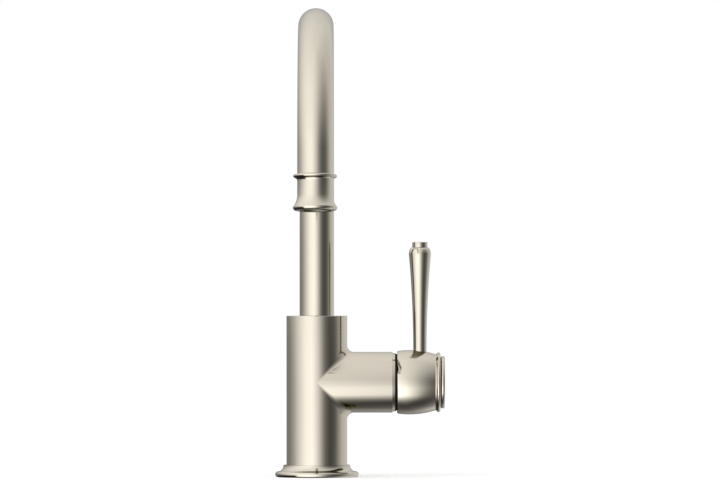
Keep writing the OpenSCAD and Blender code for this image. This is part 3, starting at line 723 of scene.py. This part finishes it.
def deck_flange():
    """Ledge round the body, cove and round bead, with the groove for the seal underneath."""
    cove = (LEDGE_R + FLANGE_COVE, FLANGE_TOP)
    join = crossing(cove, FLANGE_COVE, FLANGE_BEAD_AT, FLANGE_BEAD)
    bead_r, bead_z = FLANGE_BEAD_AT
    toe = bead_r + math.sqrt(FLANGE_BEAD**2 - bead_z**2)
    foot_bore = FOOT_R + FOOT_FIT
    body_bore = BODY_R + SEAT_FIT
    pen = Pen("deck_flange", foot_bore, 0)
    pen.line((foot_bore, LIP_Z), (body_bore, LIP_Z), (body_bore, FLANGE_TOP), (LEDGE_R, FLANGE_TOP))
    pen.arc(cove, join)
    pen.arc(FLANGE_BEAD_AT, (bead_r + FLANGE_BEAD, bead_z))
    pen.arc(FLANGE_BEAD_AT, (toe, 0))
    pen.line((SEAL_OUT_R, 0), (SEAL_OUT_R, SEAL_TOP), (SEAL_IN_R, SEAL_TOP), (SEAL_IN_R, 0), (foot_bore, 0))
    return pen.turn()


def gooseneck_tube():
    """Ring drawn up the riser, round the arch and down the leg."""
    bpy.ops.object.select_all(action="DESELECT")
    bpy.ops.mesh.primitive_circle_add(
        vertices=SEGMENTS, radius=TUBE_R * MM, fill_type="NGON", location=(0, 0, TUBE_FOOT_Z * MM)
    )
    tube = bpy.context.active_object
    tube.name = "gooseneck_tube"
    bpy.ops.object.transform_apply(location=True, rotation=False, scale=False)
    edit("SELECT")
    bpy.ops.mesh.inset(thickness=TUBE_WALL * MM)
    bpy.ops.mesh.delete(type="FACE")
    bpy.ops.mesh.select_all(action="SELECT")
    rise = (0, 0, (ARCH_Z - TUBE_FOOT_Z) * MM)
    bpy.ops.mesh.extrude_region_move(TRANSFORM_OT_translate={"value": rise})
    bpy.ops.mesh.spin(
        steps=ARCH_STEPS,
        angle=math.pi - OUTLET_LEAN,
        center=(0, -ARCH_R * MM, ARCH_Z * MM),
        axis=(-1, 0, 0),
    )
    leg = Vector((0, -math.sin(OUTLET_LEAN), -math.cos(OUTLET_LEAN))) * LEG_L * MM
    bpy.ops.mesh.extrude_region_move(TRANSFORM_OT_translate={"value": leg})
    bpy.ops.object.mode_set(mode="OBJECT")
    close_up()
    return tube


def spout_collar():
    """Sleeve with a round bead at the top and a flare that ends in another."""
    top_r, top_s = TOP_BEAD_AT
    cove_r = TUBE_R + TOP_COVE
    reach = TOP_COVE + TOP_BEAD
    cove = (cove_r, top_s - math.sqrt(reach**2 - (cove_r - top_r) ** 2))
    touch = Vector(cove).lerp(TOP_BEAD_AT, TOP_COVE / reach)
    low_r, low_s = LOW_BEAD_AT
    crest = low_r + LOW_BEAD
    spread = crest - TUBE_R
    flare_cove = ((FLARE_H - low_s) ** 2 / spread + spread) / 2 - FLARE_NOSE
    flare = (TUBE_R + flare_cove, FLARE_H)
    nose = (crest - FLARE_NOSE, low_s)
    pen = Pen("spout_collar", WATERWAY_R, COLLAR_L + NECK_L)
    pen.line((NECK_R, COLLAR_L + NECK_L), (NECK_R, COLLAR_L), (TUBE_R, COLLAR_L), (TUBE_R, top_s + TOP_BEAD))
    pen.line((top_r, top_s + TOP_BEAD))
    pen.arc(TOP_BEAD_AT, (top_r + TOP_BEAD, top_s))
    pen.arc(TOP_BEAD_AT, touch)
    pen.arc(cove, (TUBE_R, cove[1]))
    pen.line((TUBE_R, FLARE_H))
    pen.arc(flare, Vector(nose).lerp(flare, FLARE_NOSE / (FLARE_NOSE + flare_cove)))
    pen.arc(nose, (crest, low_s))
    pen.arc(LOW_BEAD_AT, (low_r, 0))
    pen.line((AERATOR_R, 0), (AERATOR_R, AERATOR_DEPTH), (WATERWAY_R, AERATOR_DEPTH))
    pen.line((WATERWAY_R, COLLAR_L + NECK_L))
    return set_on_leg(pen.turn())


def set_on_leg(collar):
    """Leans what was drawn upright as the leg leans, and moves it to the leg's end."""
    down = LEG_L + COLLAR_L
    collar.rotation_euler = (-OUTLET_LEAN, 0, 0)
    collar.location = (
        0,
        (-ARCH_R * (1 + math.cos(OUTLET_LEAN)) - down * math.sin(OUTLET_LEAN)) * MM,
        (ARCH_Z + ARCH_R * math.sin(OUTLET_LEAN) - down * math.cos(OUTLET_LEAN)) * MM,
    )
    bpy.ops.object.transform_apply(location=True, rotation=True, scale=False)
    return collar


def on_ball(radius, along):
    """The spot at this place along the branch on a ball about the lever's pivot."""
    return (math.sqrt(radius**2 - (along - PIVOT_X) ** 2), along)


def on_circle(centre, radius, tilt):
    """The spot on a circle where its surface leans this many degrees along the axis.

    With the radius below 0, it is the middle of the circle that such a spot lies on.
    """
    tilt = math.radians(tilt)
    return (centre[0] + radius * math.cos(tilt), centre[1] + radius * math.sin(tilt))


def dome_cover():
    """Skirt, crowned trim ring and dome at the end of the branch, stepped for the black wiper ring."""
    start_tilt, end_tilt = TRIM_TILTS
    crown = on_circle((TRIM_R, BRANCH_END), -TRIM_CURVE, start_tilt)
    low = on_circle(crown, TRIM_CURVE, end_tilt)
    pivot = (0, PIVOT_X)
    seat_r = DOME_R - WIPER_T
    inner_r = DOME_R - DOME_WALL
    pen = Pen("dome_cover", SKIRT_R - SKIRT_WALL, SKIRT_X, upright=False)
    pen.line((SKIRT_R, SKIRT_X), (SKIRT_R, BRANCH_END), (TRIM_R, BRANCH_END))
    pen.arc(crown, low)
    pen.line((low[0] - TRIM_EDGE, TRIM_X), on_ball(seat_r, TRIM_X))
    pen.arc(pivot, on_ball(seat_r, WIPER_END))
    pen.line(on_ball(DOME_R, WIPER_END))
    pen.arc(pivot, on_ball(DOME_R, DOME_END))
    pen.line(on_ball(inner_r, DOME_END))
    pen.arc(pivot, on_ball(inner_r, TRIM_X))
    pen.line((SKIRT_R - SKIRT_WALL, TRIM_X), (SKIRT_R - SKIRT_WALL, SKIRT_X))
    return pen.turn()


def on_hub(along, inset=0):
    """The spot at this place along the branch on the hub's skin, or this far inside it."""
    return (CROWN_AXIS_R + math.sqrt((HUB_CURVE - inset) ** 2 - (along - CROWN_X) ** 2), along)


def lever_hub():
    """Barrel with a thin wall, a boss for the spindle, a post for the lever and a notch in its rim."""
    curve = (CROWN_AXIS_R, CROWN_X)
    inner_rim_r = on_hub(RIM_X, HUB_WALL)[0]
    rim = on_hub(RIM_X + RIM_EDGE, RIM_EDGE)
    rim_start = CROWN_X + (rim[1] - CROWN_X) * HUB_CURVE / (HUB_CURVE - RIM_EDGE)
    pen = Pen("lever_hub", SCREW_R, SCREW_SEAT_X, upright=False)
    pen.line((SCREW_HEAD_R, SCREW_SEAT_X), (SCREW_HEAD_R, HUB_END), on_hub(HUB_END))
    pen.arc(curve, on_hub(rim_start))
    pen.arc(rim, (rim[0], RIM_X))
    pen.line((inner_rim_r, RIM_X))
    pen.arc(curve, on_hub(HUB_FLOOR, HUB_WALL))
    pen.line((BOSS_R, HUB_FLOOR), (BOSS_R, BOSS_X), (SCREW_R, BOSS_X), (SCREW_R, SCREW_SEAT_X))
    hub = pen.turn()
    post = (LEVER_X, 0, BRANCH_Z + BOSS_R - POST_SINK)
    hole = (LEVER_X, 0, BRANCH_Z + LEVER_FOOT - LEVER_HOLE_L)
    foot = (LEVER_X, 0, BRANCH_Z + LEVER_FOOT)
    high = (LEVER_X, 0, BRANCH_Z + BODY_R + 2 * OVER)
    cut(hub, bar(LEVER_ROOT_R + HUB_WALL, post, foot), "UNION")
    cut(hub, bar(LEVER_ROOT_R + SEAT_FIT, foot, high))
    cut(hub, bar(LEVER_HOLE_R, hole, high))
    cut_rim(hub, NOTCH_R, NOTCH_X, NOTCH_FLOOR, NOTCH_TILT)
    cut_rim(hub, SLIT_R, SLIT_X, SLIT_LOW)
    finish_cuts(hub)
    return hub


def cut_rim(hub, radius, along, low, tilt=0):
    """Cuts a round bite into the hub's rim at the notch's angle, from the low radius outwards.

    The tilt leans it towards the cap, in degrees.
    """
    rise = math.radians(NOTCH_ANGLE)
    outwards = Vector((0, -math.cos(rise), math.sin(rise)))
    start = Vector((along, 0, BRANCH_Z)) + outwards * low
    lean = Vector((math.tan(math.radians(tilt)), 0, 0))
    cut(hub, bar(radius, start, start + (outwards + lean) * BITE_L, SEGMENTS))


def beaded_ring():
    """Ring between the hub and its cap, with a hollow curve that runs into a round bead."""
    edge = Vector(on_hub(HUB_END))
    cove = edge + (edge - Vector((CROWN_AXIS_R, CROWN_X))) * BEAD_RING_COVE / HUB_CURVE
    bead = Vector((BEAD_RING_R, CAP_X - BEAD_RING_BEAD))
    across = (bead - cove).normalized()
    pen = Pen("beaded_ring", BEAD_RING_BORE, HUB_END, upright=False)
    pen.line(edge)
    pen.arc(cove, cove + across * BEAD_RING_COVE)
    pen.line(bead - across * BEAD_RING_BEAD)
    pen.arc(bead, (BEAD_RING_R + BEAD_RING_BEAD, bead[1]))
    pen.arc(bead, (BEAD_RING_R, CAP_X))
    pen.line((BEAD_RING_BORE, CAP_X), (BEAD_RING_BORE, HUB_END))
    return pen.turn()


def hub_cap():
    """Flat cap with a round rim and a ring that presses into the beaded ring."""
    rim_r = CAP_R - CAP_EDGE
    inner_r = CAP_SPIGOT_R - CAP_SPIGOT_WALL
    pen = Pen("hub_cap", 0, CAP_END, upright=False)
    pen.line((rim_r, CAP_END))
    pen.arc((rim_r, CAP_END - CAP_EDGE), (CAP_R, CAP_END - CAP_EDGE))
    pen.line((CAP_R, CAP_X + CAP_EDGE))
    pen.arc((rim_r, CAP_X + CAP_EDGE), (rim_r, CAP_X))
    pen.line((CAP_SPIGOT_R, CAP_X), (CAP_SPIGOT_R, HUB_END), (inner_r, HUB_END), (inner_r, CAP_X))
    pen.line((0, CAP_X))
    return pen.turn()


def set_on_lever(piece):
    """Moves what was drawn on the body's axis to the lever's."""
    piece.location = (LEVER_X * MM, 0, BRANCH_Z * MM)
    bpy.ops.object.transform_apply(location=True, rotation=False, scale=False)
    return piece


def lever_stem():
    """Rod that widens slowly and then faster towards its round shoulder, bored at both ends."""
    low = LEVER_FOOT + LEVER_SEAT
    low_hole = LEVER_FOOT + LEVER_HOLE_L
    high_hole = LEVER_TOP - LEVER_HOLE_L
    pen = Pen("lever_stem", 0, low_hole)
    pen.line((LEVER_HOLE_R, low_hole), (LEVER_HOLE_R, LEVER_FOOT), (LEVER_ROOT_R, LEVER_FOOT))
    for step in range(TAPER_STEPS + 1):
        share = step / TAPER_STEPS
        radius = LEVER_ROOT_R + (LEVER_TOP_R - LEVER_ROOT_R) * share**2
        pen.line((radius, low + (LEVER_SHOULDER - low) * share))
    for step in range(1, SHOULDER_STEPS + 1):
        turn = math.radians(90 * step / SHOULDER_STEPS)
        radius = TIP_R + (LEVER_TOP_R - TIP_R) * math.cos(turn)
        pen.line((radius, LEVER_SHOULDER + (LEVER_TOP - LEVER_SHOULDER) * math.sin(turn)))
    pen.line((LEVER_HOLE_R, LEVER_TOP), (LEVER_HOLE_R, high_hole), (0, high_hole))
    return set_on_lever(pen.turn())


def lever_button():
    """Short round button on the rod's shoulder, with a stem that goes down into the rod."""
    stem_foot = LEVER_TOP - TIP_STEM_L
    pen = Pen("lever_button", 0, stem_foot)
    pen.line((TIP_STEM_R, stem_foot), (TIP_STEM_R, LEVER_TOP), (TIP_R, LEVER_TOP))
    pen.line((TIP_R, TIP_TOP - TIP_EDGE))
    pen.arc((TIP_R - TIP_EDGE, TIP_TOP - TIP_EDGE), (TIP_R - TIP_EDGE, TIP_TOP))
    pen.line((0, TIP_TOP))
    return set_on_lever(pen.turn())


def model_pieces(finishes):
    """Makes each nickel piece that shows, in place of its solid and on the same body."""
    work = [
        (mixer_casting, "body_casting", "mixer_body"),
        (deck_flange, "base_flange", "mixer_body"),
        (gooseneck_tube, "spout_tube", "spout"),
        (spout_collar, "outlet_collar", "spout"),
        (dome_cover, "branch_dome", "mixer_body"),
        (lever_hub, "handle_hub", "handle"),
        (beaded_ring, "hub_bead_ring", "handle"),
        (hub_cap, "hub_end_cap", "handle"),
        (lever_stem, "lever_rod", "handle"),
        (lever_button, "lever_tip", "handle"),
    ]
    for make, node, body in work:
        piece = make()
        piece.data.materials.append(finishes["satin_nickel"])
        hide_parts(node)
        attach(piece, body)


def put_camera():
    camera = bpy.data.cameras.new("camera")
    camera.lens = LENS
    camera.sensor_width = SENSOR_W
    camera.shift_y = HORIZON_SHIFT
    camera.clip_end = FAR_CLIP
    holder = bpy.data.objects.new("camera", camera)
    holder.location = CAMERA_AT
    holder.rotation_euler = (math.radians(90), 0, 0)
    bpy.context.scene.collection.objects.link(holder)
    bpy.context.scene.camera = holder


def light_world():
    """An even light from all sides, and white behind the floor."""
    world = bpy.data.worlds.new("studio")
    bpy.context.scene.world = world
    world.use_nodes = True
    tree = world.node_tree
    tree.nodes.clear()
    level = WORLD_LIGHT + (1.0 - WORLD_LIGHT) * seen_at_all(tree)
    background = Wire.node(tree, "ShaderNodeBackground", sockets={"Color": level, "Strength": 1.0})
    Wire.node(tree, "ShaderNodeOutputWorld", sockets={"Surface": Wire(background.outputs[0])})


def room_walls(tree, across, ahead, up):
    """The walls' level by bearing, leaning to the left above the horizon."""
    turn = across.bearing(ahead) * (0.5 / math.pi) + 0.5 + LEAN / 360 * up.smooth(*LEAN_UP)
    stops = [((angle + 180) / 360, grey(level)) for angle, level in ROOM_LEVELS]
    return Wire(Wire.node(tree, "ShaderNodeValToRGB", {"stops": stops}, {"Fac": turn}).outputs[0])


def add_ceiling(level, across, up):
    """Brings the ceiling in over the walls, sooner at the left than at the right."""
    ceiling = CEILING_LEVEL - CEILING_FALL * across
    at_left = up.smooth(*CEILING_LEFT_UP).power(CEILING_LEFT_POWER)
    at_right = up.smooth(*CEILING_RIGHT_UP)
    share = at_left + across.smooth(*CEILING_RIGHT_ACROSS) * (at_right - at_left)
    return level + share * (ceiling - level)


def add_front_light_and_shade_below(level, across, ahead, down):
    """Paints light on the walls low in front, and paints shade straight below and low on the left."""
    # Painted light on the walls low in front
    level = level * (1.0 + FRONT_GAIN * (ahead.smooth(*FRONT_AHEAD) * down.smooth(*FRONT_DOWN)))
    # Painted shade straight below
    level = level + down.smooth(*UNDER_SHADE_DOWN) * (UNDER_SHADE_LEVEL - level)
    # Painted shade low on the left
    left = 0.0 - across
    beside = (left - LOW_LEFT_SHADE_AHEAD_SHARE * ahead).smooth(*LOW_LEFT_SHADE_SIDE) * left.smooth(*LOW_LEFT_SHADE_LEFT)
    return level + beside * down.smooth(*LOW_LEFT_SHADE_DOWN) * (LOW_LEFT_SHADE_LEVEL - level)


def paint_room():
    """The studio as the metal sees it, a painted reflection: the walls by bearing, a ceiling, and painted
    shade below.
    """
    material, tree = new_material("studio_room")
    x, y, z = axes(tree, place(tree))
    across = x * (1 / ROOM_RADIUS)
    ahead = y * (-1 / ROOM_RADIUS)
    up = z * (1 / ROOM_RADIUS)
    level = room_walls(tree, across, ahead, up)
    level = add_ceiling(level, across, up)
    level = add_front_light_and_shade_below(level, across, ahead, 0.0 - up)
    glow = Wire.node(tree, "ShaderNodeEmission", sockets={"Color": level, "Strength": 1.0})
    Wire.node(tree, "ShaderNodeOutputMaterial", sockets={"Surface": Wire(glow.outputs[0])})
    return material


def show_in_reflections_only(room):
    room.visible_camera = False
    room.visible_diffuse = False
    room.visible_shadow = False
    room.visible_transmission = False


def build_room():
    """A sphere round the tap, which shows in reflections only."""
    bpy.ops.object.select_all(action="DESELECT")
    bpy.ops.mesh.primitive_uv_sphere_add(
        segments=ROOM_SEGMENTS, ring_count=ROOM_RINGS, radius=ROOM_RADIUS, location=(0, 0, ROOM_CENTRE_Z)
    )
    room = bpy.context.active_object
    room.name = "studio_room"
    bpy.ops.object.shade_smooth()
    room.data.materials.append(paint_room())
    show_in_reflections_only(room)


def paint_floor():
    """Pale paper, a little cloudy, with a faint glow that lights nothing."""
    material, tree = new_material("pale_floor")
    point = place(tree)
    first_shade, other_shade = FLOOR_SHADES
    colour = mix_colours(tree, noise(tree, point, scale=3.0), grey(first_shade), grey(other_shade))
    paper = Wire.node(tree, "ShaderNodeBsdfDiffuse", sockets={"Color": colour})
    x, y = axes(tree, point)[:2]
    far = (x * x + y * y).power(0.5).smooth(*FLOOR_FAR)
    level = (FLOOR_GLOW + FLOOR_GLOW_FAR * far) * seen_at_all(tree)
    glow = Wire.node(tree, "ShaderNodeEmission", sockets={"Color": level, "Strength": 1.0})
    layers = {0: Wire(paper.outputs[0]), 1: Wire(glow.outputs[0])}
    both = Wire.node(tree, "ShaderNodeAddShader", sockets=layers)
    Wire.node(tree, "ShaderNodeOutputMaterial", sockets={"Surface": Wire(both.outputs[0])})
    return material


def lay_floor():
    """The floor at the deck's height. It isn't reflected, because the painted room paints shade below in its
    place.
    """
    bpy.ops.object.select_all(action="DESELECT")
    bpy.ops.mesh.primitive_plane_add(size=FLOOR_SIZE)
    floor = bpy.context.active_object
    floor.name = "floor"
    floor.data.materials.append(paint_floor())
    floor.visible_glossy = False


def hang_lamp(name, at, watts):
    """A soft lamp aimed at the middle of the tap. The metal reflects the room instead of it."""
    lamp = bpy.data.lights.new(name, "AREA")
    lamp.size = LAMP_SIZE
    lamp.energy = watts
    holder = bpy.data.objects.new(name, lamp)
    holder.location = at
    aim = Vector(TAP_MIDDLE) - Vector(at)
    holder.rotation_euler = aim.to_track_quat("-Z", "Y").to_euler()
    holder.visible_glossy = False
    bpy.context.scene.collection.objects.link(holder)


def set_studio():
    """The camera, the world, the room, the floor and the lamps."""
    bpy.context.scene.view_settings.view_transform = "Standard"
    put_camera()
    light_world()
    build_room()
    lay_floor()
    for name, at, watts in LAMPS:
        hang_lamp(name, at, watts)


finishes = make_finishes()
dress_nodes(finishes)
model_pieces(finishes)
set_studio()
